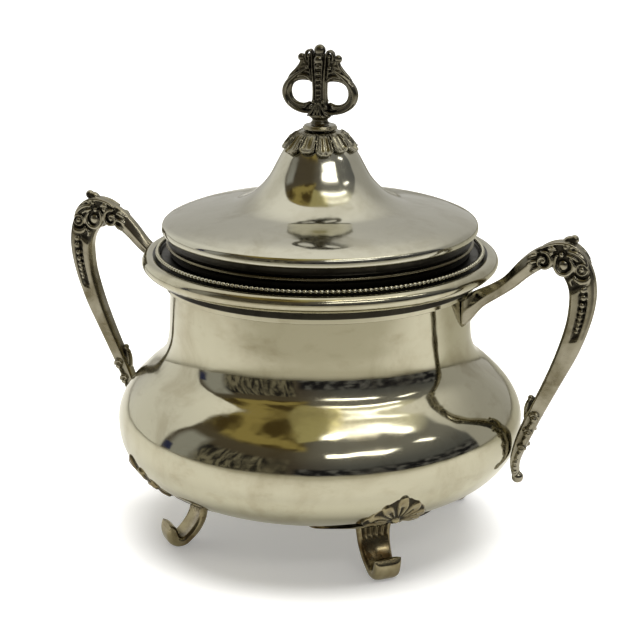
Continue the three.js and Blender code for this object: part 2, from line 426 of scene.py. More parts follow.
def old_plate(name, clean, stain, gloss, staining, cavity, reach, spun=0.0, marks=0.5):
    """Silver plate with stains, hairline marks, dark oxide in recesses and, where spun, fine rings."""
    material, g, shader = new_material(name)
    shader.inputs["Metallic"].default_value = 1.0
    place = g.add("ShaderNodeTexCoord").outputs["Object"]

    cloud = g.noise(place, 38.0, 6.0, 0.62, 0.4)
    patch = g.noise(g.stretch(place, (1.0, 1.0, 2.2), (0.3, 0.2, 0.9)), 95.0, 4.0, 0.6)
    speck = g.noise(place, 900.0, 2.0, 0.6)
    stained = g.times(g.step(cloud, 0.44, 0.68), staining)
    stained = g.plus(stained, g.times(g.step(patch, 0.55, 0.75), 0.5 * staining))
    flecks = g.times(g.step(speck, 0.70, 0.76), 0.25)
    stained = g.plus(stained, flecks, clamp=True)

    lines = None
    for turn, seed in ((0.4, 0.0), (1.5, 3.7), (2.5, 8.1)):
        grain = g.stretch(place, (0.03, 1.0, 0.6), (0.35 * turn, 0.5, turn))
        moved_grain = g.add("ShaderNodeVectorMath", {0: grain, 1: (seed, 0, 0)}, operation="ADD")
        field = g.noise(moved_grain.outputs[0], 260.0, 1.0)
        hair = g.fall(g.math("ABSOLUTE", g.math("SUBTRACT", field, 0.5)), 0.0, 0.008)
        sparse = g.step(g.noise(place, 70.0 + 10 * turn, 1.0), 0.52, 0.66)
        hair = g.times(hair, sparse)
        lines = hair if lines is None else g.math("MAXIMUM", lines, hair)
    lines = g.times(lines, marks)

    closed = g.add(
        "ShaderNodeAmbientOcclusion", {"Distance": reach}, samples=8, only_local=True
    ).outputs["AO"]
    hollow = g.times(g.fall(closed, 0.50, 0.99), cavity)
    hollow = g.times(hollow, g.step(patch, 0.2, 0.7, 0.75, 1.0))
    recess = g.add("ShaderNodeAttribute", attribute_name="recess").outputs["Fac"]
    hollow = g.math("MAXIMUM", hollow, g.times(recess, 0.92))

    colour = g.mix(stained, clean, stain)
    colour = g.mix(g.times(lines, 0.35), colour, HAIRLINE_COLOUR)
    colour = g.mix(hollow, colour, OXIDE_COLOUR)
    g.tree.links.new(colour, shader.inputs["Base Color"])

    rough = g.plus(g.times(stained, 0.16), gloss)
    rough = g.plus(rough, g.times(lines, 0.18))
    rough = g.plus(rough, g.times(hollow, 0.35))
    rough = g.plus(rough, g.times(g.noise(place, 210.0, 3.0), 0.05), clamp=True)
    g.tree.links.new(rough, shader.inputs["Roughness"])

    swell = g.noise(place, 55.0, 2.0, 0.45)
    bump = g.add("ShaderNodeBump", {"Height": swell, "Strength": 1.0, "Distance": SWELL_DEPTH})
    if spun:
        x, y, z = (g.add("ShaderNodeSeparateXYZ", {0: place}).outputs[i] for i in range(3))
        angle = g.math("ARCTAN2", y, x)
        radius = g.math("SQRT", g.plus(g.times(x, x), g.times(y, y)))
        rings = g.add(
            "ShaderNodeCombineXYZ", {0: g.times(angle, 0.004), 1: radius, 2: z}
        ).outputs[0]
        fine = g.noise(rings, 1400.0, 2.0, 0.7)
        bump = g.add(
            "ShaderNodeBump",
            {"Height": fine, "Strength": 1.0, "Distance": spun, "Normal": bump.outputs[0]},
        )
    sunk = {"Height": g.math("SUBTRACT", 0.0, lines), "Strength": 1.0, "Distance": HAIRLINE_DEPTH}
    bump = g.add("ShaderNodeBump", {**sunk, "Normal": bump.outputs[0]})
    g.tree.links.new(bump.outputs[0], shader.inputs["Normal"])
    return material


# Each finish: its clean and its stained colour, its gloss, its staining, and how dark and how wide
# the oxide of its recesses is.
plate = old_plate(
    "polished_plate", (0.54, 0.515, 0.395), (0.37, 0.33, 0.225), 0.045, 0.6, 0.5, 0.004,
    spun=0.0000018, marks=0.07,
)
lid_plate = old_plate(
    "lid_plate", (0.56, 0.545, 0.455), (0.42, 0.395, 0.30), 0.06, 0.55, 0.5, 0.003,
    spun=0.0000014, marks=0.12,
)
# Near black: painted shade for the gap under the lid, on the seat ring, the lid's flange and the
# collar's mouth.
painted_shade_plate = old_plate("painted_shade_plate", (0.035, 0.032, 0.025), (0.015, 0.013, 0.01), 0.3, 0.8, 0.9, 0.006)
# A dim grey: the flange's bead, a copy of the plate darkened as painted shade under the lid.
line_plate = old_plate("line_plate", (0.20, 0.18, 0.12), (0.10, 0.085, 0.05), 0.2, 0.8, 0.9, 0.001)
inside_plate = old_plate("inside_plate", (0.42, 0.38, 0.29), (0.24, 0.20, 0.12), 0.28, 0.7, 0.5, 0.006)
cast_plate = old_plate("cast_plate", (0.34, 0.315, 0.243), (0.17, 0.147, 0.09), 0.12, 0.9, 1.0, 0.004)
# Far darker than the other castings: painted shade, for the dark room that the finial mirrors.
finial_plate = old_plate(
    "finial_plate", (0.19, 0.176, 0.135), (0.075, 0.064, 0.042), 0.11, 0.8, 1.0, 0.0045
)
calyx_plate = old_plate("calyx_plate", (0.36, 0.34, 0.265), (0.17, 0.15, 0.097), 0.11, 0.8, 1.0, 0.004)
bead_plate = old_plate("bead_plate", (0.62, 0.60, 0.49), (0.33, 0.285, 0.18), 0.12, 0.4, 1.0, 0.0012)
foot_plate = old_plate("foot_plate", (0.33, 0.288, 0.178), (0.115, 0.076, 0.032), 0.1, 1.0, 1.0, 0.0034)
brass = old_plate("brass", (0.50, 0.34, 0.13), (0.25, 0.15, 0.05), 0.25, 0.8, 0.8, 0.002)


# ---- the bowl

BOWL_BOTTOM = 17.7
BOWL_OUTSIDE = [
    (36, 18.3), (52, 20.4), (64.1, 24.4), (72.6, 30.4), (77.3, 38), (78.4, 46.2), (77.7, 51),
    (74.2, 57.6), (67.5, 64.7), (61, 70.5), (58.5, 77), (57.9, 86), (57.3, 98.8),
]


def bowl_outline(step=0.4):
    """The outside of the bowl from its bottom to the top of its neck."""
    return faired(through([(20, BOWL_BOTTOM), *BOWL_OUTSIDE]), 30, step)


def bowl_body():
    """The spun shell of the bowl, bright outside and dull within."""
    outside = np.vstack([[(0, BOWL_BOTTOM), (12, BOWL_BOTTOM)], bowl_outline()])
    inside = beside(bowl_outline(0.8), SHEET)[::-1]
    lip = [(inside[0, 0], BOWL_OUTSIDE[-1][1])]
    bottom = [(12, BOWL_BOTTOM + SHEET), (0, BOWL_BOTTOM + SHEET)]
    inside = np.vstack([lip, inside[1:], bottom])

    def within(r, z, outward, up):
        return outward < 0 or (z < 20 and up > 0.5)

    piece = make("bowl_body_plate", [spin(np.vstack([outside, inside]))], plate)
    return painted(piece, inside_plate, within)


COLLAR_SIDE = [(59.3, 99.1), (59.35, 101.6)]
COLLAR_ROLL = [
    (59.7, 102.4), (62.6, 104.1), (66.4, 105.4), (67.9, 107.6), (67.2, 109.8), (65, 110.9),
    (62.8, 110.3), (60.9, 110.2),
]


def rim_collar():
    """A short wall soldered to the neck, rolled out to a rim and back into the mouth."""
    side = even(through(COLLAR_SIDE, 0.2), 0.2)
    outside = np.vstack([side, faired(through(COLLAR_ROLL, 0.2), 14, 0.2)])
    outside = faired(outside, 4, 0.2)
    inside = beside(outside, SHEET)[::-1]
    keep = inside[(inside[:, 1] < 109.4) & (inside[:, 1] > 99.1)]
    ring = np.vstack([[(56.2, 99.1)], outside, [(60.9, 109.2)], keep, [(56.2, 100.2)]])

    def in_mouth(r, z, outward, up):
        return (r < 63.6 and z > 109.3) or (r < 60.6 and z > 104)

    # the faces in the mouth under the lid take the near-black painted shade
    return painted(make("rim_collar_plate", [spin(ring)], plate), painted_shade_plate, in_mouth)


def seat_ring():
    """The ledge in the mouth that the lid stands on."""
    ring = [
        (54, 101), (60.4, 101), (60.6, 101.3), (60.6, 110.4), (60.3, 110.7), (54.6, 110.7), (54, 110.3),
    ]
    # near black all over: painted shade under the lid
    return make("seat_ring_plate", [spin(faired(ring + ring[:1], 1, 0.25)[:-1])], painted_shade_plate)


def bead_wire():
    """A wire rolled into round beads, each a little flattened, on a thin strip."""
    count = BEADS * 8
    turn = np.linspace(0, TAU, count, endpoint=False)
    phase = (turn * BEADS / TAU) % 1.0
    swell = 0.28 + 0.62 * np.sqrt(np.clip(1 - (2 * phase - 1) ** 2, 0, 1))
    around = np.linspace(0, TAU, 14, endpoint=False)
    radius = 61.7 + swell[:, None] * np.cos(around)
    points = np.stack(
        [
            radius * np.cos(turn)[:, None],
            radius * np.sin(turn)[:, None],
            111.7 + swell[:, None] * np.sin(around),
        ],
        axis=-1,
    ).reshape(-1, 3)
    faces = strip_faces(count, 14, True, True)
    return make("bead_wire_plate", [(points, faces)], bead_plate)


# ---- the handles

# The outer and the inner edge of a handle at the same stations, from its root down to its tail.
HANDLE_EDGES = [
    ((57.7, 98.8), (57.7, 86.9)), ((62, 101.6), (60.2, 89)), ((67.4, 104.3), (65, 95.2)),
    ((73, 108), (70.2, 99)), ((78.4, 114.3), (77.2, 104)), ((84, 119.4), (83.2, 109.4)),
    ((91, 122.6), (89.8, 113.4)), ((97.6, 123.6), (94, 112.2)), ((102.8, 119.8), (96.4, 109)),
    ((106.6, 113.4), (97.7, 105.6)), ((108, 105.7), (98, 101.4)), ((107, 96.4), (97.2, 93.4)),
    ((102.4, 82.2), (93.4, 80.2)), ((95.4, 67.8), (88, 66.4)), ((88.3, 53.2), (82.6, 54.4)),
    ((83.8, 42.9), (79, 44)), ((81.2, 35.6), (77.6, 35.6)), ((81.4, 30.6), (79, 29.8)),
]
# Half the thickness of a bar, the top of its relief, and where its ornament begins along X and Z.
HANDLE_HALF = 3.0
RELIEF_TOP = 4.08
ORNAMENT_REACH = 85
ORNAMENT_FOOT = 87.5
ROOT_SECTION = [(0, 0), (0.02, 0.62), (0.1, 0.92), (0.5, 1.0), (0.9, 0.92), (0.98, 0.62), (1, 0)]
ARM_SECTION = [
    (0, 0), (0.02, 0.36), (0.10, 0.55), (0.44, 0.97), (0.50, 1.0), (0.56, 0.97), (0.86, 0.60),
    (0.97, 0.42), (1, 0),
]
BACK_SECTION = [
    (0, 0), (0.01, 0.50), (0.04, 0.66), (0.13, 0.97), (0.18, 1.0), (0.45, 0.95), (0.72, 0.97),
    (0.84, 0.90), (0.95, 0.62), (0.99, 0.35), (1, 0),
]
SECTIONS = (ROOT_SECTION, ARM_SECTION, BACK_SECTION)


def handle_bar():
    """The plain bar of a handle: a ridged arm, then a broad face bevelled on its inner side."""
    edges = through(np.array(HANDLE_EDGES, float).reshape(-1, 4), 0.7)
    run = length_along(edges[:, :2])
    at = np.arange(0, run[-1], 0.7)
    edges = rubbed(np.stack([np.interp(at, run, edges[:, k]) for k in range(4)], axis=1), 6)
    across = 0.5 - 0.5 * np.cos(np.linspace(0, math.pi, 44))
    root, arm, back = (np.interp(across, *zip(*section)) for section in SECTIONS)
    rings = []
    for k, (out_x, out_z, in_x, in_z) in enumerate(edges):
        width = math.hypot(out_x - in_x, out_z - in_z)
        past_arm = np.clip((out_x - 84) / 14, 0, 1) if k < len(edges) * 0.55 else 1.0
        half = HANDLE_HALF * np.clip(0.55 + 0.45 * width / 9.0, 0, 1.0)
        side = (arm * (1 - past_arm) + back * past_arm) * half
        at_root = np.clip((63 - out_x) / 4, 0, 1) if k < len(edges) * 0.3 else 0
        side = side * (1 - at_root) + root * half * at_root
        falling = k > len(edges) * 0.4
        if falling:
            bed = np.clip((out_z - 87.5) / 2, 0, 1) * np.clip((109 - out_z) / 2, 0, 1)
            side = side - 1.0 * bed * np.exp(-(((across - 0.56) / 0.15) ** 4))
        crest = np.clip((out_x - 84) / 3, 0, 1) * np.clip((out_z - 109.5) / 3, 0, 1)
        side = side - 0.85 * crest * np.exp(-(((across - 0.46) / 0.36) ** 6))
        x = in_x + (out_x - in_x) * across
        z = in_z + (out_z - in_z) * across
        near = np.stack([x, -side, z], axis=1)
        far = np.stack([x, side, z], axis=1)[::-1]
        rings.append(np.vstack([near, far[1:-1]]))
    return loft(rings)


def handle_relief():
    """Scrolls, leaves, a flower and graduated beads, laid on the face of a handle at negative Y."""
    y = -2.4
    parts = [
        # the first scroll, with three leaf tips behind it
        reed(
            [(88.8, 115.6), (89, 116.7), (88, 117.4), (86.8, 116.9), (86.3, 115.7), (86.9, 114.2),
             (88.4, 113.4), (90.3, 114), (91.2, 115.9), (90.7, 118), (89, 119.3), (86.9, 119.2)],
            [0.5, 0.5, 0.55, 0.6, 0.7, 0.75, 0.8, 0.85, 0.85, 0.8, 0.7, 0.4], [1, 1.25, 1.25, 0.9], y,
        ),
        ball(88.2, y - 0.3, 115.9, 1.05),
        reed([(86.3, 118.2), (84.4, 118), (82.4, 116.5)], [0.6, 1, 0.5], [0.9, 1.2, 0.6], y + 0.1),
        reed([(86, 115.6), (84.2, 115.3), (82.2, 113.9)], [0.6, 1, 0.5], [0.9, 1.2, 0.6], y + 0.1),
        reed([(86.6, 113.5), (85.2, 112.5), (83.6, 111.4)], [0.6, 0.9, 0.5], [0.9, 1.1, 0.6], y + 0.1),
        ball(91.3, y - 0.25, 119.4, 1),
        reed([(89.6, 120.3), (91.6, 121.2), (93.3, 120.2)], [0.4, 0.75, 0.5], [0.8, 1.1, 0.8], y),
        # the second scroll round its boss
        reed(
            [(93.5, 119), (92.6, 116.6), (93, 113.8), (94.8, 111.9), (97.3, 111.9), (99, 113.6),
             (99.3, 116), (97.9, 117.9)],
            [0.6, 0.85, 0.95, 1, 0.95, 0.9, 0.8, 0.45], [1, 1.25, 1.25, 0.9], y,
        ),
        ball(95.8, y - 0.1, 115.1, 2, (1, 0.62, 1)),
        ball(96, y - 0.5, 115.3, 0.9),
        ball(95.1, y - 0.25, 119, 1.1),
        ball(96.3, y + 0.1, 121.8, 1.05),
        ball(98.4, y + 0.1, 122, 0.9),
        # long fronds over the shoulder
        reed(
            [(86.6, 120.3), (90.4, 122.2), (94.4, 123), (98.6, 122.5), (102.2, 120.1), (104.6, 117)],
            [0.4, 0.55, 0.6, 0.6, 0.55, 0.35], [0.7, 0.9, 0.9, 0.7], y + 0.2,
        ),
        reed(
            [(96.9, 120.5), (100.4, 119.9), (103.2, 117.9), (104.9, 115.2)], [0.6, 0.85, 0.8, 0.4],
            [0.9, 1.25, 1.2, 0.7], y,
        ),
        reed([(96.6, 119), (99.4, 118.3), (101.6, 116.9)], [0.5, 0.8, 0.5], [0.9, 1.2, 0.9], y),
        reed([(98.6, 117.2), (99.9, 115.3), (100.2, 112.6)], [0.5, 0.75, 0.4], [0.9, 1.1, 0.7], y),
        # the flower, a half-moon petal under it and a curl beside it
        ball(102.8, y - 0.35, 114.2, 1.2),
        reed([(100, 112.2), (100.5, 110.5), (102.5, 109.5), (104.6, 110), (105.6, 111.7)],
             [0.45, 1.1, 1.35, 1.1, 0.4], [0.8, 1.25, 1.3, 1.2, 0.7], y),
        reed(
            [(99.4, 111), (98.6, 109.3), (99.4, 107.6)], [0.55, 0.7, 0.35], [0.8, 1, 0.6],
            y + 0.1,
        ),
    ]
    around = np.linspace(0.3, 0.3 + TAU, 14)
    ring = [(102.8 + 2.05 * math.cos(a), 114.2 + 2.05 * math.sin(a)) for a in around]
    parts.append(reed(ring, 0.5, 1.15, y))
    beads = [
        (103.6, 106.7), (103.75, 103.8), (103.4, 100.9), (103.1, 98.3), (102.7, 96.1), (102.4, 94.2),
        (102, 92.4), (101.6, 90.8),
    ]
    for (x, z), radius in zip(beads, np.linspace(1.3, 0.85, len(beads))):
        parts.append(ball(x, y - 0.45, z, radius))
    for x, z, size in ((86.9, 54.9, 1), (84.6, 48.8, 0.95), (82.4, 42.3, 0.85)):
        depth = y - 0.2
        parts.append(ball(x, depth - 0.35, z, 1.3 * size))
        crescent = [(-1.7, 0.9), (-0.3, 2.1), (1.4, 1.6), (2, -0.1)]
        crescent = [(x + u * size, z + v * size) for u, v in crescent]
        parts.append(reed(crescent, [0.4, 0.7, 0.65, 0.35], [0.8, 1.1, 0.8], depth))
        leaf = [(-0.4, -1.2), (-1.3, -2.9), (-1.2, -4.9)]
        leaf = [(x + u * size, z + v * size) for u, v in leaf]
        parts.append(reed(leaf, [0.7, 0.8, 0.35], [0.9, 1.1, 0.6], depth))
    for x, z in ((80.6, 38.4), (80.1, 36.6), (79.9, 34.8), (80, 33.1)):
        parts.append(ball(x, y * 0.85, z, 0.9))
    return parts


def handle(name, mirrored):
    """A handle's bar, its relief on both faces and the knobs at its top and tail, in one casting."""
    ends = [
        reed([(95.0, 121.8), (96.6, 123.8), (98.4, 124.9)], [1.6, 1.6, 1.3], [1.9, 1.9, 1.5]),
        ball(98.9, 0, 124.4, 1.75),
        ball(80.6, 0, 30.2, 2.3),
        reed([(83.2, 54.0), (83.4, 58.6), (84.3, 61.6)], [1.0, 1.1, 0.9], [1.8, 1.5, 1.0]),
        ball(84.8, 0, 62.3, 1.25),
    ]
    relief = handle_relief()
    parts = [handle_bar(), *ends, *relief, *flipped(relief, 1)]
    if mirrored:
        parts = flipped(parts, 0)
    piece = cast(name, parts, cast_plate, 0.26, 1)
    # the highest relief is pressed down under one level
    room = (RELIEF_TOP - HANDLE_HALF) / 3
    knee = RELIEF_TOP - room
    for vertex in piece.data.vertices:
        over = abs(vertex.co.y) / MM - HANDLE_HALF - 2 * room
        if over > 0:
            high = knee + room * math.tanh(over / room)
            vertex.co.y = math.copysign(high * MM, vertex.co.y)
    # the ground between the ornaments is dark with oxide
    depths = []
    for vertex in piece.data.vertices:
        x, y, z = vertex.co / MM
        ornate = z > ORNAMENT_FOOT and abs(x) > ORNAMENT_REACH
        sunk = np.clip((HANDLE_HALF - 0.25 - abs(y)) / 0.35, 0, 1)
        depths.append(ornate * sunk * np.clip((abs(vertex.normal.y) - 0.6) / 0.3, 0, 1))
    return darkened(piece, depths)


# ---- the feet

LEG_EDGES = [
    ((49.9, 19.9), (53.8, 20.3)), ((49.8, 17.5), (53.7, 18)), ((49.9, 13.4), (53.7, 14.4)),
    ((51, 9.4), (54.6, 11.2)), ((53.3, 5.4), (56.3, 8.4)), ((56.2, 2.4), (58.3, 6.1)),
    ((59, 0.35), (60.2, 4.5)), ((62.2, 0.1), (61.3, 4.9)), ((65, 1.8), (61.7, 6.4)),
    ((66.2, 4.9), (62.3, 8)), ((66, 7.4), (63.6, 9.2)), ((65.2, 8.8), (64.5, 9.3)),
]
LEG_HALF = 6.5
# The leaf that holds the foot: half its edge as (sideways, up along the belly), from its tip down.
LEAF_EDGE = [
    (0, 11.6), (2.4, 10.7), (4.4, 8.9), (6.4, 7.5), (8, 5.4), (9.6, 3.6), (10.8, 0.8), (12.1, -1.2),
    (12.4, -4.2), (11, -7.2), (9.4, -9.4), (12.5, -12.4), (18.5, -15), (24.5, -16.9), (26.5, -18.4),
    (19, -18.9), (8.4, -19.6), (0, -20.2),
]
# The petals of that leaf: bearing in degrees, length and half width.
PETALS = [
    (0, 14.3, 2.7), (33, 12.6, 2.7), (-33, 12.6, 2.7), (69, 11.8, 3.2), (-69, 11.8, 3.2),
    (108, 11.6, 3.2), (-108, 11.6, 3.2),
]
PETAL_GAPS = (16.5, 51.0, 88.5, 130.0)


def leg():
    """A fluted, dished strap that curls out and up to its toe, in the plane of X and Z."""
    edges = through(np.array(LEG_EDGES, float).reshape(-1, 4), 0.25)
    rings = []
    across = np.sin(np.linspace(-math.pi / 2, math.pi / 2, 49))
    for k, (in_r, in_z, out_r, out_z) in enumerate(edges):
        share = k / (len(edges) - 1)
        narrowing = 0.18 * np.clip((share - 0.25) / 0.45, 0, 1)
        spreading = 0.22 * np.clip(1 - share / 0.28, 0, 1) ** 2
        half = LEG_HALF * (1 - narrowing + spreading)
        rounding = np.sqrt(np.clip(1 - np.abs(across) ** 5, 0, 1))
        high = np.clip((out_z - 11.8 - 1.2 * np.cos(across * 19)) / 2.2, 0, 1)
        low = np.clip((0.72 - share) / 0.15, 0, 1) * np.clip((share - 0.05) / 0.15, 0, 1)
        flutes = high * 1.1 * np.abs(np.cos(across * math.pi * 3)) ** 3 * (np.abs(across) < 0.86)
        dish = 1.15 * low * np.clip(1 - (across / 0.78) ** 2, 0, 1) ** 0.7 + flutes
        middle = np.array([(in_r + out_r) / 2, (in_z + out_z) / 2])
        reach = np.array([(out_r - in_r) / 2, (out_z - in_z) / 2])
        unit = reach / np.linalg.norm(reach)
        outer = middle + rounding[:, None] * reach - dish[:, None] * unit
        inner = middle - rounding[:, None] * reach
        side = across * half
        front = np.stack([outer[:, 0], side, outer[:, 1]], axis=1)
        back = np.stack([inner[:, 0], side, inner[:, 1]], axis=1)[::-1]
        rings.append(np.vstack([front, back[1:-1]]))
    return loft(rings)


def belly_line():
    """The belly's outline, by its length upwards from the heart of a leaf, with its outward normal."""
    line = even(bowl_outline(), 0.4)
    run = length_along(line)
    run -= np.interp(30.4, line[:60 + len(line) // 2, 1], run[:60 + len(line) // 2])
    return run, line, -left_of(line)


def leaf_plate():
    """A palmette in relief, bent to the belly, and how deep each of its points lies in a recess."""
    run, line, outward = belly_line()
    half = np.array(LEAF_EDGE, float)
    edge = even(through(np.vstack([half, (half * (-1, 1))[-2::-1]]), 0.3), 0.42)[:-1]
    heart = np.array([0, -3.4])
    shares = np.concatenate([np.linspace(0.02, 0.96, 46), [0.99, 1.0]])
    layers, recessed = [], []
    for share in shares:
        spot = heart + share * (edge - heart)
        out = spot - heart
        distance = np.hypot(out[:, 0], out[:, 1])
        bearing = np.degrees(np.arctan2(out[:, 0], out[:, 1]))
        relief = np.zeros(len(spot))
        for aim, length, width in PETALS:
            turn = math.radians(aim)
            lengthwise = out[:, 0] * math.sin(turn) + out[:, 1] * math.cos(turn)
            sideways = out[:, 0] * math.cos(turn) - out[:, 1] * math.sin(turn)
            u = (lengthwise - 0.58 * length) / (0.44 * length)
            w = sideways / (width * (0.62 + 0.38 * np.clip(lengthwise / length, 0, 1)))
            inside = 1 - u**2 - w**2
            dome = 1.6 * np.sqrt(np.clip(inside, 0, 1))
            dome = dome - 0.9 * np.exp(-(((inside - 1) / 0.35) ** 2)) * (inside > 0)
            vein = 0.8 * np.exp(-((w / 0.2) ** 2)) * (u < 0.2) * (inside > 0)
            relief = np.maximum(relief, dome - vein)
        for gap in PETAL_GAPS:
            off = distance * np.sin(np.radians(np.clip(np.abs(bearing) - gap, -90, 90)))
            relief = relief * (1 - 0.95 * np.exp(-((off / 0.7) ** 2)))
        bud = 1.6 * np.sqrt(np.clip(1 - (distance / 1.6) ** 2, 0, 1))
        relief = np.maximum(relief, bud)
        low = np.clip((-9.0 - spot[:, 1]) / 2.0, 0, 1)
        ribs = 0.45 + 0.35 * np.cos(bearing * math.pi / 180 * 22)
        relief = relief * (1 - low) + ribs * low
        recessed.append((0.62 - 0.3 * low - relief) / 0.35 * (share < 0.97))
        base = (0.55 - 0.05 * low) * math.sqrt(max(0.0, 1 - max(0.0, (share - 0.93) / 0.07) ** 2 * 0.6))
        layers.append((spot, base + relief * min(1.0, (1.0 - share) / 0.05)))
    layers.append((edge, np.zeros(len(edge))))
    layers.append((heart + 0.5 * (edge - heart), np.zeros(len(edge))))
    rings = []
    for spot, height in layers:
        r, z = np.interp(spot[:, 1], run, line[:, 0]), np.interp(spot[:, 1], run, line[:, 1])
        n_r, n_z = np.interp(spot[:, 1], run, outward[:, 0]), np.interp(spot[:, 1], run, outward[:, 1])
        turn = spot[:, 0] / r
        off = 0.3 + height
        far = r + n_r * off
        rings.append(np.stack([far * np.cos(turn), far * np.sin(turn), z + n_z * off], axis=1))
    recessed = np.concatenate([*recessed, np.zeros(2 * len(edge) + 2)])
    return loft(rings), recessed


def foot(name, bearing):
    """A leg that stands out along X, then turned to its corner."""
    turn = math.radians(bearing)
    cos, sin = math.cos(turn), math.sin(turn)
    leaf, recessed = leaf_plate()
    parts = []
    for points, faces in (leaf, leg()):
        points = np.array(points)
        x, y = points[:, 0] * cos - points[:, 1] * sin, points[:, 0] * sin + points[:, 1] * cos
        parts.append((np.stack([x, y, points[:, 2]], axis=1), faces))
    leg_points = parts[1][0]
    depths = np.concatenate([recessed, np.zeros(len(leg_points))])
    return darkened(make(name, parts, foot_plate), depths)


# ---- the lid

LID_EDGE = [(58.5, 119.6), (59.4, 119.35), (60, 120.1), (60.1, 121.2), (59.75, 122.6), (58.6, 123.5)]
LID_TOP = [
    (54, 125.3), (44, 127.5), (36, 128.9), (32.4, 129.7), (25.7, 133.2), (19.8, 139.2),
    (16.4, 145.2), (13.9, 149.7), (11, 153.2), (7, 155.2), (2.05, 155.6),
]


def lid_shell():
    """A disc with a rolled edge that rises to a bell, open at the top for the finial's stud."""
    edge = through(LID_EDGE, 0.12)
    dome = faired(through([LID_EDGE[-1], *LID_TOP]), 10)
    outside = np.vstack([faired(edge, 4, 0.12), dome[1:]])
    outside = faired(outside, 3, 0.3)
    inside = beside(outside, SHEET)[::-1]
    inside = inside[(inside[:, 0] > 2.05) & (inside[:, 0] < 58.3)]
    ring = np.vstack([outside, [(2.05, 154.4)], inside, [(58.2, 120.0)]])

    def beneath(r, z, outward, up):
        return r < 58 and up < 0

    return painted(make("lid_shell_plate", [spin(ring)], lid_plate), inside_plate, beneath)


def lid_flange():
    """The skirt that drops into the mouth, its foot, a bead and a cove above, all in painted shade: the
    bead a dim grey, the rest near black.
    """
    outside = [
        (53.4, 104.4), (53.4, 110.6), (53.9, 111), (57.0, 111), (57.2, 111.4), (57.2, 113.2),
        (57.7, 113.7), (58.4, 114.0), (58.6, 114.5), (58.4, 115.0), (57.7, 115.2), (56.9, 115.7),
        (56.6, 116.6), (56.6, 121.6),
    ]
    inside = [
        (55.5, 121.6), (55.4, 112.6), (54.9, 112.1), (52.5, 111.6), (52.2, 111.2), (52.2, 104.4),
        (52.7, 104.2),
    ]
    ring = faired(outside + inside + outside[:1], 2, 0.2)[:-1]

    def on_bead(r, z, outward, up):
        return r > 57.6 and 113.8 < z < 115.2

    return painted(make("lid_flange_plate", [spin(ring)], painted_shade_plate), line_plate, on_bead)


CALYX_TOP = [(2.05, 157.4), (7.5, 157.1), (11.4, 154.6), (13.7, 152), (15, 149.8)]


def lid_calyx():
    """A cap of leaves in relief: long and short lobes by turns, each with a raised rim and ribs."""
    columns, rows = LOBES * 36, 46
    turn = np.linspace(0, TAU, columns, endpoint=False)
    lobe = turn * LOBES / TAU
    which = np.round(lobe).astype(int)
    u = 2 * (lobe - which)
    edge = np.abs(u)
    large = which % 2 == 0
    reach = np.where(large, 1.0, 0.93) * (1 - 0.15 * edge**3)
    top = even(through(CALYX_TOP, 0.2), 0.2)
    run = np.linspace(0, 1, len(top))
    outward = left_of(top)
    outside, inside = [], []
    for t in np.linspace(0, 1, rows):
        s = 0.05 + 0.95 * t * reach
        s = np.where(t == 0, 0.0, s)
        r, z = np.interp(s, run, top[:, 0]), np.interp(s, run, top[:, 1])
        n_r, n_z = np.interp(s, run, outward[:, 0]), np.interp(s, run, outward[:, 1])
        leaf = np.clip((t - 0.30) / 0.25, 0, 1)
        leaf = leaf * leaf * (3 - 2 * leaf)
        rim = np.exp(-(((1 - t) / 0.09) ** 2)) + np.exp(-(((0.84 - edge) / 0.12) ** 2)) * (t > 0.45)
        rim = np.minimum(rim, 1.0)
        groove = np.exp(-(((1 - edge) / 0.07) ** 2))
        ribs = 0.5 + 0.5 * np.cos(math.pi * np.where(large, 3.3, 2.4) * u)
        ribs = np.where(edge < 0.62, ribs, 0) * np.where(large, 1.0, 0.7)
        hollow = np.clip(1 - edge / 0.75, 0, 1) ** 0.5 * np.exp(-(((t - 0.72) / 0.22) ** 2))
        height = leaf * (0.95 * rim + 0.36 * ribs - 0.6 * hollow - 0.5 * groove)
        outside.append((r + n_r * height, z + n_z * height))
        inside.append((r - 0.45 * n_r, z - 0.45 * n_z))
    rings = outside + inside[::-1]
    points = np.stack(
        [np.stack([r * np.cos(turn), r * np.sin(turn), z], axis=-1) for r, z in rings]
    ).reshape(-1, 3)
    parts = [(points, strip_faces(len(rings), columns, True, True))]
    for k in range(LOBES):
        a = TAU * (k + 0.5) / LOBES
        parts.append(ball(11.6 * math.cos(a), 11.6 * math.sin(a), 154.6, 1.05))
    return make("lid_calyx_leaves", parts, calyx_plate)


def finial_disc():
    """The round collar between the calyx and the finial."""
    ring = [
        (1.95, 157.7), (5.9, 157.7), (6.5, 158.1), (6.55, 158.6), (6.2, 158.9), (6.15, 159.1),
        (5.8, 159.5), (4.6, 159.6), (1.95, 159.6),
    ]
    return make("finial_disc_plate", [spin(faired(ring + ring[:1], 1, 0.12)[:-1], 96)], cast_plate)


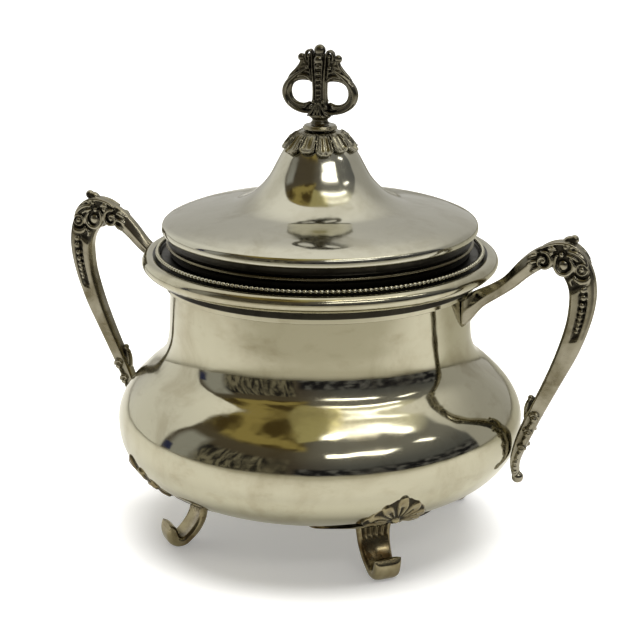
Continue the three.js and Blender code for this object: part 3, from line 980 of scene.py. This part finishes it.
def finial():
    """Two C scrolls back to back, plumes of leaves between them and a beaded stem, all one casting."""
    quarter = [
        # the scroll round the loop, from its upper volute over the outside to the curl at the foot
        reed(
            [(4.3, 181), (6.8, 179.4), (10.2, 177.1), (12.9, 174.2), (13.9, 171), (12.8, 167.6),
             (10, 165.3), (6.6, 164.2), (3.9, 164.2), (2.2, 165.3), (2.6, 166.7), (3.5, 166.3)],
            [0.45, 0.6, 0.95, 1.2, 1.3, 1.2, 0.95, 0.75, 0.6, 0.5, 0.5, 0.4],
            [0.7, 1, 1.5, 1.9, 2, 1.9, 1.6, 1.4, 1.1, 0.8, 0.7, 0.6],
            [-0.9, -0.7, -0.4, -0.3, -0.3, -0.3, -0.5, -0.8, -1.2, -1.6, -1.7, -1.7],
        ),
        ball(4.4, -1.9, 181, 0.85),
        ball(3, -2.2, 166.1, 0.75),
        # the thinner band inside it, round the hole
        reed(
            [(3, 176.4), (5.6, 176.7), (8.6, 176.4), (11.2, 174.9), (12.3, 171.8), (11.4, 168.7),
             (9.2, 167), (6.4, 166.6), (3.4, 167.6)],
            [0.8, 0.8, 0.8, 0.95, 1, 0.95, 0.85, 0.8, 0.8],
            [0.9, 1, 1.1, 1.2, 1.2, 1.2, 1.1, 1, 0.9], 0,
        ),
        # leaf plumes between the stem and the scroll
        reed(
            [(2.6, 175.4), (4.6, 177.4), (7.4, 177.7), (10.4, 176.2)], [0.5, 0.95, 0.9, 0.3],
            [1.5, 1.5, 1.3, 0.6], -0.3,
        ),
        reed(
            [(2.6, 177.6), (4.4, 179.3), (6.8, 179.2), (9.6, 177.6)], [0.5, 0.8, 0.7, 0.3],
            [1.2, 1.2, 1, 0.5], -0.1,
        ),
        reed(
            [(2.8, 179.6), (4.6, 181.6), (6.9, 181.3), (9.2, 179.5)], [0.6, 1, 0.9, 0.4],
            [1.1, 1, 0.9, 0.6], 0,
        ),
        # the outer leaf edge, from the side ball down to the scroll
        reed(
            [(6.9, 184.6), (7.5, 182.4), (9.2, 180), (11.6, 177.4), (13.6, 174.2)],
            [0.8, 0.65, 0.7, 0.7, 0.4], [1, 0.9, 0.9, 0.9, 0.6], -0.1,
        ),
        reed([(4.2, 180), (5.8, 182.6), (6.8, 184.3)], [1.2, 1, 0.7], [1, 0.9, 0.8], 0),
        ball(7.3, 0, 184.5, 1.5),
        # the stem: a core, two ribs beside the beads, an arched lobe at the top
        reed(
            [(0.3, 162.5), (0.3, 168), (0.3, 176), (0.3, 187)], [2.1, 1.7, 1.7, 2.6],
            [2.3, 1.7, 1.7, 1.6], 0,
        ),
        reed(
            [(2.7, 165.6), (2.2, 168.6), (2.05, 173), (2.3, 178), (2.6, 182), (2.8, 185.6),
             (3.7, 187.3), (5, 186.8), (5.5, 185), (5, 183.4)],
            [0.35, 0.5, 0.5, 0.5, 0.5, 0.45, 0.45, 0.45, 0.45, 0.4],
            [0.9, 1.2, 1.3, 1.3, 1.3, 1.3, 1.2, 1.1, 1, 0.7],
            [-1.5, -1.2, -1.1, -1.2, -1.3, -1.2, -1, -0.8, -0.7, -0.6],
        ),
        reed(
            [(3.2, 176.5), (3.6, 180), (4, 183), (4.1, 185.6)], [0.4, 0.45, 0.5, 0.5],
            [1.1, 1.1, 1.1, 1], -0.6,
        ),
        ball(4.1, -1.3, 185.3, 0.75),
        reed(
            [(1.15, 167.6), (1.1, 172), (1.25, 178), (1.6, 184)], [0.3, 0.3, 0.3, 0.35],
            [0.9, 0.9, 1, 1.1], -1.3,
        ),
        ball(1.9, -2.35, 168.3, 0.8),
        # thin webs that fill the corners
        reed([(4.4, 177.6), (5.6, 181), (6.5, 183.4)], [1.5, 1.7, 1], [0.8, 0.8, 0.7], 0),
        reed([(2.6, 181), (3.4, 184.2), (3.9, 186.3)], [1.6, 1.6, 1.2], [0.9, 0.9, 0.8], 0),
        reed(
            [(3.4, 165.4), (8.6, 165.8), (12, 168.4), (13, 171.6)], [1.2, 1.1, 1, 0.8],
            [0.9, 0.9, 0.9, 0.8], 0,
        ),
        reed([(9.6, 177.6), (12.4, 174.4)], [1.4, 1], [0.9, 0.8], 0),
        ball(7.5, 0, 179.9, 1.5, (1, 0.6, 1)),
        ball(4.8, 0, 183.7, 1.3, (1, 0.6, 1)),
        # the acanthus at the foot
        reed(
            [(0.9, 168), (1.9, 165.6), (3.4, 163.4), (4.6, 162.9)], [0.4, 0.5, 0.55, 0.35],
            [0.9, 1, 0.9, 0.7], [-1.9, -2.1, -2.3, -2.3],
        ),
        reed(
            [(0.4, 167.6), (0.9, 165.2), (1.6, 163.2), (2.4, 162.4)], [0.35, 0.45, 0.5, 0.3],
            [0.8, 0.9, 0.9, 0.7], [-2.2, -2.6, -2.9, -2.9],
        ),
        reed([(4.8, 167.2), (5.6, 165.9), (7.2, 165.6)], [0.5, 0.6, 0.3], [1.3, 1.3, 0.8], -0.4),
    ]
    middle = [
        ball(0, -1.75, 183.9, 1.85),
        reed(
            [(0, 168), (0, 165), (0, 162.8)], [0.35, 0.5, 0.4], [0.8, 0.9, 0.8],
            [-2.2, -2.8, -3],
        ),
    ]
    radii = [1.15, 1.0, 0.9, 0.85, 0.8, 0.7, 0.65, 0.6]
    height = 181.3
    for radius in radii:
        middle.append(ball(0, -2.05, height, radius, (1.15, 0.9, 0.85)))
        height -= 1.85 * radius + 0.35
    neck = [
        (0, 159.9), (3.6, 159.9), (3.65, 160.3), (3.1, 160.8), (2.95, 161.3), (3.2, 161.8),
        (4.1, 162.4), (4.3, 162.9), (3.6, 163.4), (0, 163.8),
    ]
    parts = all_four(quarter) + middle + flipped(middle, 1) + [ball(0, 0, 187.4, 2.2)]
    parts.append(spin(np.array(neck), 64))
    return cast("finial_casting", parts, finial_plate, 0.15, 2)


# ---- stage, light and camera

# The floor as the camera sees it. The silver mirrors it in other colours, which are painted reflection:
# lighter near the bowl, darker further ahead, blotched, painted shade in the corner behind on the
# right, and painted light close round the bowl where it would shade itself.
FLOOR_SEEN = (0.93, 0.93, 0.93)
FLOOR_GLOW = (0.24, 0.243, 0.255)
FLOOR_NEAR = (0.62, 0.612, 0.59)
FLOOR_AHEAD = (0.37, 0.357, 0.31)
FLOOR_REFLECTION_BLOTCH = (0.34, 0.33, 0.29)
FLOOR_REFLECTED_SHADE = (0.26, 0.25, 0.20)
FLOOR_REFLECTED_LIGHT = (0.27, 0.265, 0.235)


def floor():
    """A wide white floor, which the silver mirrors in painted colours, darker than the camera sees it.
    """
    half = FLOOR_HALF
    corners = [(-half, -half, 0), (half, -half, 0), (half, half, 0), (-half, half, 0)]
    mesh = bpy.data.meshes.new("floor")
    mesh.from_pydata(corners, [], [(0, 1, 2, 3)])
    material, g, shader = new_material("floor")
    place = g.add("ShaderNodeTexCoord").outputs["Object"]
    ahead, aside = g.dot(place, AHEAD), g.dot(place, ASIDE)
    # painted reflection: blotches on the floor that only the silver's reflections show
    grain = g.noise(place, 9.0, 3.0, 0.5)
    mirrored = g.mix(g.step(ahead, 0.12, 0.42), FLOOR_NEAR, FLOOR_AHEAD)
    mirrored = g.mix(g.times(grain, 0.25), mirrored, FLOOR_REFLECTION_BLOTCH)
    # painted shade in the reflections, for the corner behind on the right
    corner = g.times(g.fall(ahead, -0.12, 0.06), g.step(aside, 0.04, 0.20))
    mirrored = g.mix(g.times(corner, 0.85), mirrored, FLOOR_REFLECTED_SHADE)
    reach = g.add("ShaderNodeVectorMath", {0: place}, operation="LENGTH").outputs["Value"]
    path = g.add("ShaderNodeLightPath").outputs
    # painted light in the reflections close round the bowl, lifting the shade it casts there
    lift = g.times(path["Is Glossy Ray"], g.fall(reach, 0.070, 0.115))
    colour = g.mix(path["Is Glossy Ray"], FLOOR_SEEN, mirrored)
    g.tree.links.new(colour, shader.inputs["Base Color"])
    glow = g.mix(lift, (0.0, 0.0, 0.0), FLOOR_REFLECTED_LIGHT)
    glow = g.mix(path["Is Camera Ray"], glow, FLOOR_GLOW)
    g.tree.links.new(glow, shader.inputs["Emission Color"])
    shader.inputs["Emission Strength"].default_value = 1.0
    shader.inputs["Roughness"].default_value = 0.9
    shader.inputs["Specular IOR Level"].default_value = 0.1
    mesh.materials.append(material)
    placed("floor", mesh)


# The strip lights on the ceiling of the room: their near and far edge, their left and right end
# and their brightness.
STRIP_LIGHTS = (
    (0.405, 0.47, 0.05, 0.72, 7.0),
    (0.20, 0.25, 0.14, 0.6, 3.5),
    (1.10, 1.30, 0.10, 0.90, 6.0),
    (0.74, 0.84, 1.0, 1.3, 5.0),
)


def studio():
    """A white tent at the sides and back, open towards the camera on a dim room with strip lights."""
    world = bpy.data.worlds.new("studio")
    bpy.context.scene.world = world
    world.use_nodes = True
    g = Graph(world.node_tree)
    background = world.node_tree.nodes["Background"]
    way = g.add("ShaderNodeTexCoord").outputs["Generated"]
    front, right, up = g.dot(way, AHEAD), g.dot(way, ASIDE), g.dot(way, (0, 0, 1))
    turn = g.math("ARCTAN2", right, front)
    rise = g.math("ARCSINE", up)
    deg = math.radians

    # the tent: dimmer at the back and on the right, brighter overhead
    aloft = g.step(rise, deg(24), deg(62))
    left_side = g.window(turn, deg(-150), deg(-60), deg(14))
    right_side = g.window(turn, deg(60), deg(150), deg(14))
    low = g.mix(left_side, (0.56, 0.55, 0.52), (0.86, 0.85, 0.80))
    low = g.mix(right_side, low, (0.46, 0.45, 0.42))
    tent = g.mix(aloft, low, (1.05, 1.03, 0.96))

    # the room in the opening of the tent, a dark one full of things on its shelves
    opening = g.window(turn, deg(-98), deg(97), deg(1.2))
    high = g.math("MAXIMUM", up, 0.02)
    across = g.math("DIVIDE", right, high)
    beyond = g.math("DIVIDE", front, high)
    toward = g.plus(beyond, g.times(across, 0.4))
    far_side = g.step(turn, deg(-28), deg(22))
    wall = g.mix(far_side, (0.075, 0.058, 0.04), (0.115, 0.118, 0.12))
    upper_wall = g.mix(far_side, (0.10, 0.083, 0.055), (0.24, 0.235, 0.22))
    room = g.mix(g.step(rise, deg(18), deg(46)), wall, upper_wall)
    shelf_way = g.add("ShaderNodeCombineXYZ", {0: g.times(turn, 16.0), 1: g.times(rise, 1.6)})
    books = g.step(g.noise(shelf_way.outputs[0], 1.9, 3.0, 0.6), 0.46, 0.56)
    books = g.mix(books, (0.012, 0.011, 0.01), (0.22, 0.20, 0.145))
    shelf = g.times(g.window(turn, deg(-74), deg(-18), deg(2)), g.fall(rise, deg(30), deg(36)))
    room = g.mix(shelf, room, books)
    things = g.noise(way, 9.0, 4.0, 0.6)
    things = g.mix(g.step(things, 0.46, 0.60), (0.012, 0.012, 0.014), (0.14, 0.14, 0.145))
    low_right = g.times(g.step(turn, deg(-18), deg(-12)), g.fall(rise, deg(12), deg(20)))
    room = g.mix(low_right, room, things)
    curtain = g.times(g.window(turn, deg(-93), deg(-74), deg(4)), g.fall(rise, deg(34), deg(42)))
    room = g.mix(curtain, room, (0.36, 0.36, 0.34))
    blue_box = g.times(
        g.window(turn, deg(-97), deg(-90), deg(1)), g.window(rise, deg(2), deg(14), deg(1))
    )
    room = g.mix(blue_box, room, (0.03, 0.035, 0.09))

    # its ceiling: brown and gold over the left, a yellow panel with a bright rim, cream over the
    # right, and strip lights
    clouds = g.step(g.noise(way, 4.5, 2.0, 0.5), 0.42, 0.6)
    gold = g.mix(clouds, (0.075, 0.052, 0.016), (0.34, 0.27, 0.09))
    high_left = g.times(g.step(rise, deg(44), deg(52)), g.fall(across, -0.2, -0.1))
    room = g.mix(high_left, room, gold)
    cream = g.times(g.window(across, 0.12, 0.78, 0.14), g.window(toward, -0.6, 0.46, 0.05))
    room = g.mix(cream, room, (0.88, 0.85, 0.66))
    panel = g.times(g.window(across, -0.19, 0.13, 0.008), g.window(toward, -0.2, 0.47, 0.012))
    room = g.mix(panel, room, (0.46, 0.41, 0.19))
    rim = g.times(g.window(across, 0.09, 0.14, 0.008), g.window(toward, 0.16, 0.50, 0.01))
    room = g.mix(rim, room, (1.9, 1.75, 1.0))
    for near, far, left, end, bright in STRIP_LIGHTS:
        strip = g.times(g.window(toward, near, far, 0.02), g.window(across, left, end, 0.05))
        room = g.mix(strip, room, (bright, bright * 0.985, bright * 0.93))
    light = g.mix(opening, tent, room)

    seen = g.add("ShaderNodeLightPath").outputs["Is Camera Ray"]
    light = g.mix(seen, light, (1.0, 1.0, 0.995))
    g.tree.links.new(light, background.inputs["Color"])
    background.inputs["Strength"].default_value = 1.0


def overhead():
    """A large soft lamp that only the floor and dull surfaces answer to."""
    data = bpy.data.lights.new("overhead", "AREA")
    data.shape = "DISK"
    data.size = LAMP_SIZE
    data.energy = LAMP_WATTS
    made = placed("overhead", data)
    made.location = LAMP_PLACE
    made.visible_camera = False
    made.visible_glossy = False


def camera():
    """A long lens, turned to the bowl's right front and looking a little down on it."""
    data = bpy.data.cameras.new("camera")
    data.lens = LENS
    data.sensor_width = 36.0
    made = placed("camera", data)
    spot = Vector((CAMERA_REACH * AHEAD[0], CAMERA_REACH * AHEAD[1], CAMERA_HEIGHT))
    made.location = spot
    made.rotation_mode = "QUATERNION"
    made.rotation_quaternion = (Vector((0, 0, CAMERA_AIM)) - spot).to_track_quat("-Z", "Y")
    bpy.context.scene.camera = made
    bpy.context.scene.view_settings.view_transform = "Standard"


settle(fitted(bowl_body(), "bowl_body"), "bowl", "polished_plate", "bowl_body")
settle(fitted(rim_collar(), "rim_collar"), "bowl", "polished_plate", "rim_collar")
settle(fitted(seat_ring(), "seat_ring"), "bowl", "aged_plate", "seat_ring")
settle(fitted(bead_wire(), "bead_wire"), "bowl", "aged_plate", "bead_wire")
settle(fitted(lid_shell(), "lid_shell"), "lid", "polished_plate", "lid_shell")
settle(fitted(lid_flange(), "lid_flange"), "lid", "aged_plate", "lid_flange")

settle(anchored(lid_calyx(), "lid_calyx"), "lid", "cast_plate", "lid_calyx")
settle(fitted(finial_disc(), "finial_disc"), "lid", "cast_plate", "finial_disc")
settle(anchored(finial(), "finial"), "lid", "cast_plate", "finial")

for side, mirrored in (("right", False), ("left", True)):
    node = "handle_" + side
    settle(anchored(handle(node + "_casting", mirrored), node), "bowl", "cast_plate", node)
CORNERS = (("back_right", 45), ("back_left", 135), ("front_left", 225), ("front_right", 315))
for corner, bearing in CORNERS:
    node = "foot_" + corner
    settle(anchored(foot(node + "_casting", bearing), node), "bowl", "foot_plate", node)

for node in ("finial_stud", "finial_washer", "finial_nut"):
    for place in bpy.data.objects[node].material_slots:
        place.material = brass

floor()
studio()
overhead()
camera()
